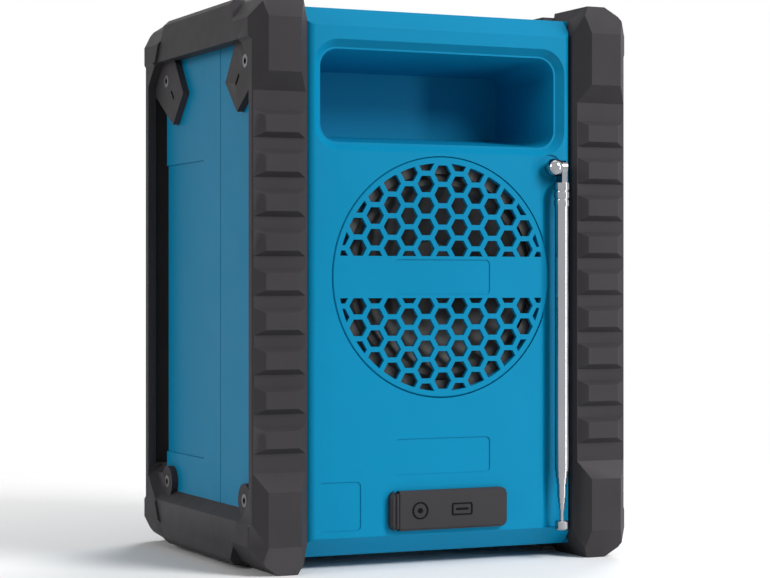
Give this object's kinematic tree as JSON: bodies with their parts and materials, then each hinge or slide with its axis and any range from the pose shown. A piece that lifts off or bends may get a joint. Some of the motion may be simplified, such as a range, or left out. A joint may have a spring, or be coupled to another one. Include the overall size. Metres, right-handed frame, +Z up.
{
  "type": "jobsite radio",
  "caption": "Portable jobsite radio: blue housing between two ribbed bumper frames, with a hand recess, round grilles, folding telescopic antenna and a covered port bay.",
  "frame": {"origin": "centre of the base, on the surface the radio stands on", "axes": "+Z up; +Y out of the rear face with the antenna and hand recess; the control panel faces -Y; +X across the radio"},
  "size_m": [0.176, 0.146, 0.238],
  "materials": {
    "blue_shell": "fine moulded texture",
    "bumper": "matte moulded rubber",
    "seal_rubber": "soft rubber",
    "screw_steel": "black oxide",
    "speaker_frame": "black paint",
    "cone": "matte",
    "antenna_chrome": "polished",
    "cover_rubber": "matte moulded rubber",
    "black_plastic": "moulded",
    "socket_metal": "bright",
    "board": "solder mask",
    "lens": "clear",
    "display": "display",
    "key_rubber": "soft",
    "knob": "moulded",
    "battery_wrap": "shrink wrap"
  },
  "bodies": {
    "radio": {"rear_shell": "blue_shell", "front_shell": "blue_shell", "shell_seal": "seal_rubber", "housing_screws": "screw_steel", "rear_grille": "blue_shell", "front_grille": "blue_shell", "speaker_basket": "speaker_frame", "speaker_magnet": "speaker_frame", "speaker_surround": "seal_rubber", "speaker_cone": "cone", "speaker_dust_cap": "cone", "speaker_screws": "screw_steel", "passive_radiator_frame": "speaker_frame", "passive_radiator_surround": "seal_rubber", "passive_radiator_cone": "cone", "bumper_left": "bumper", "bumper_right": "bumper", "bumper_screws_left": "screw_steel", "bumper_screws_right": "screw_steel", "antenna_base": "antenna_chrome", "antenna_pivot": "antenna_chrome", "port_cover_anchor": "cover_rubber", "port_tray": "black_plastic", "port_board": "board", "aux_jack": "black_plastic", "dc_jack": "black_plastic", "usb_socket": "socket_metal", "reset_switch": "black_plastic", "control_panel": "black_plastic", "display_lens": "lens", "lcd_module": "display", "control_board": "board", "button_switches": "black_plastic", "encoder": "black_plastic", "chassis_plate": "speaker_frame", "battery_pack": "battery_wrap", "main_board": "board", "tuner_shield": "socket_metal", "board_capacitors": "black_plastic"},
    "antenna_arm": {"antenna_ferrule": "antenna_chrome", "antenna_tube": "antenna_chrome"},
    "antenna_stage_2": {"antenna_stage_2": "antenna_chrome"},
    "antenna_stage_3": {"antenna_stage_3": "antenna_chrome"},
    "antenna_stage_4": {"antenna_stage_4": "antenna_chrome"},
    "antenna_stage_5": {"antenna_stage_5": "antenna_chrome"},
    "antenna_stage_6": {"antenna_stage_6": "antenna_chrome"},
    "antenna_rod": {"antenna_rod": "antenna_chrome", "antenna_tip": "antenna_chrome"},
    "port_cover": {"port_cover": "cover_rubber"},
    "knob": {"control_knob": "knob", "encoder_shaft": "socket_metal"},
    "button_power": {"button_power": "key_rubber"},
    "button_mode": {"button_mode": "key_rubber"},
    "button_seek_down": {"button_seek_down": "key_rubber"},
    "button_seek_up": {"button_seek_up": "key_rubber"},
    "button_preset": {"button_preset": "key_rubber"},
    "button_light": {"button_light": "key_rubber"},
    "reset_button": {"reset_button": "black_plastic"}
  },
  "joints": [
    {"name": "antenna_elbow", "type": "hinge", "parent": "radio", "child": "antenna_arm", "pos_m": [-0.05495, 0.0689, 0.168], "axis": [1, 0, 0], "range_deg": [0, 180]},
    {"name": "antenna_stage_2_slide", "type": "slide", "parent": "antenna_arm", "child": "antenna_stage_2", "axis": [0, 0, -1], "range_m": [0, 0.105]},
    {"name": "antenna_stage_3_slide", "type": "slide", "parent": "antenna_stage_2", "child": "antenna_stage_3", "axis": [0, 0, -1], "range_m": [0, 0.108]},
    {"name": "antenna_stage_4_slide", "type": "slide", "parent": "antenna_stage_3", "child": "antenna_stage_4", "axis": [0, 0, -1], "range_m": [0, 0.111]},
    {"name": "antenna_stage_5_slide", "type": "slide", "parent": "antenna_stage_4", "child": "antenna_stage_5", "axis": [0, 0, -1], "range_m": [0, 0.116]},
    {"name": "antenna_stage_6_slide", "type": "slide", "parent": "antenna_stage_5", "child": "antenna_stage_6", "axis": [0, 0, -1], "range_m": [0, 0.119]},
    {"name": "antenna_rod_slide", "type": "slide", "parent": "antenna_stage_6", "child": "antenna_rod", "axis": [0, 0, -1], "range_m": [0, 0.122]},
    {"name": "port_cover_hinge", "type": "hinge", "parent": "radio", "child": "port_cover", "pos_m": [0.0222, 0.06725, 0.0237], "axis": [0, 0, -1], "range_deg": [0, 100]},
    {"name": "knob_turn", "type": "hinge", "parent": "radio", "child": "knob", "pos_m": [0.034, -0.066, 0.194], "axis": [0, -1, 0], "continuous": true},
    {"name": "button_power_press", "type": "slide", "parent": "radio", "child": "button_power", "axis": [0, 1, 0], "range_m": [0, 0.001], "stiffness_N_per_m": 600},
    {"name": "button_mode_press", "type": "slide", "parent": "radio", "child": "button_mode", "axis": [0, 1, 0], "range_m": [0, 0.001], "stiffness_N_per_m": 600},
    {"name": "button_seek_down_press", "type": "slide", "parent": "radio", "child": "button_seek_down", "axis": [0, 1, 0], "range_m": [0, 0.001], "stiffness_N_per_m": 600},
    {"name": "button_seek_up_press", "type": "slide", "parent": "radio", "child": "button_seek_up", "axis": [0, 1, 0], "range_m": [0, 0.001], "stiffness_N_per_m": 600},
    {"name": "button_preset_press", "type": "slide", "parent": "radio", "child": "button_preset", "axis": [0, 1, 0], "range_m": [0, 0.001], "stiffness_N_per_m": 600},
    {"name": "button_light_press", "type": "slide", "parent": "radio", "child": "button_light", "axis": [0, 1, 0], "range_m": [0, 0.001], "stiffness_N_per_m": 600},
    {"name": "reset_press", "type": "slide", "parent": "radio", "child": "reset_button", "axis": [0, -1, 0], "range_m": [0, 0.0006], "stiffness_N_per_m": 500}
  ]
}
